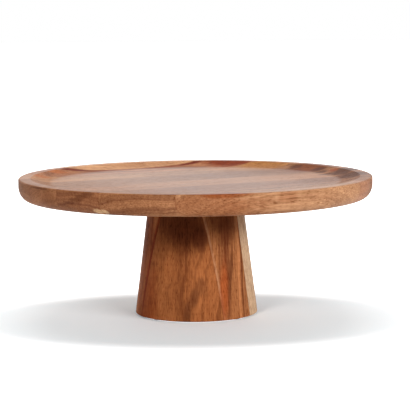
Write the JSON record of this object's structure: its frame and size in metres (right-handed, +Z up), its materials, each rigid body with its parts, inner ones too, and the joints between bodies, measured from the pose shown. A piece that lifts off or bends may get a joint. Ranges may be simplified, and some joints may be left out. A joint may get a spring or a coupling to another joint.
{
  "type": "cake stand",
  "caption": "Round wooden cake stand: a shallow dished plate that screws onto a tapered pedestal with felt pads under its foot.",
  "frame": {"origin": "centre of the foot, on the table", "axes": "+Z up along the pedestal's axis; the plate's boards run 30 degrees from +X"},
  "size_m": [0.305, 0.305, 0.12],
  "materials": {
    "plate_board_1": "oiled acacia, satin",
    "plate_board_2": "oiled acacia, satin",
    "plate_board_3": "oiled acacia, satin",
    "plate_board_4": "oiled acacia, satin",
    "plate_board_5": "oiled acacia, satin",
    "plate_board_6": "oiled acacia, satin",
    "plate_board_7": "oiled acacia, satin",
    "plate_board_8": "oiled acacia, satin",
    "pedestal_slab_1": "oiled acacia, satin",
    "pedestal_slab_2": "oiled acacia, satin",
    "pedestal_slab_3": "oiled acacia, satin",
    "pedestal_slab_4": "oiled acacia, satin",
    "pedestal_slab_5": "oiled acacia, satin",
    "bolt_steel": "zinc-plated, satin",
    "insert_brass": "satin",
    "felt": "pressed felt"
  },
  "bodies": {
    "pedestal": {"pedestal_slab_1": "pedestal_slab_1", "pedestal_slab_2": "pedestal_slab_2", "pedestal_slab_3": "pedestal_slab_3", "pedestal_slab_4": "pedestal_slab_4", "pedestal_slab_5": "pedestal_slab_5", "hanger_bolt": "bolt_steel", "felt_pads": "felt"},
    "insert": {"threaded_insert": "insert_brass"},
    "plate": {"plate_board_1": "plate_board_1", "plate_board_2": "plate_board_2", "plate_board_3": "plate_board_3", "plate_board_4": "plate_board_4", "plate_board_5": "plate_board_5", "plate_board_6": "plate_board_6", "plate_board_7": "plate_board_7", "plate_board_8": "plate_board_8"}
  },
  "joints": [
    {"name": "plate_rise", "type": "slide", "parent": "pedestal", "child": "insert", "axis": [0, 0, 1], "range_m": [0, 0.00813]},
    {"name": "plate_turn", "type": "hinge", "parent": "insert", "child": "plate", "pos_m": [0, 0, 0.1017], "axis": [0, 0, 1], "range_deg": [0, 2340]}
  ],
  "couplings": [
    {"joint": "plate_rise", "follows": "plate_turn", "m_per_rad": 0.00019894}
  ]
}
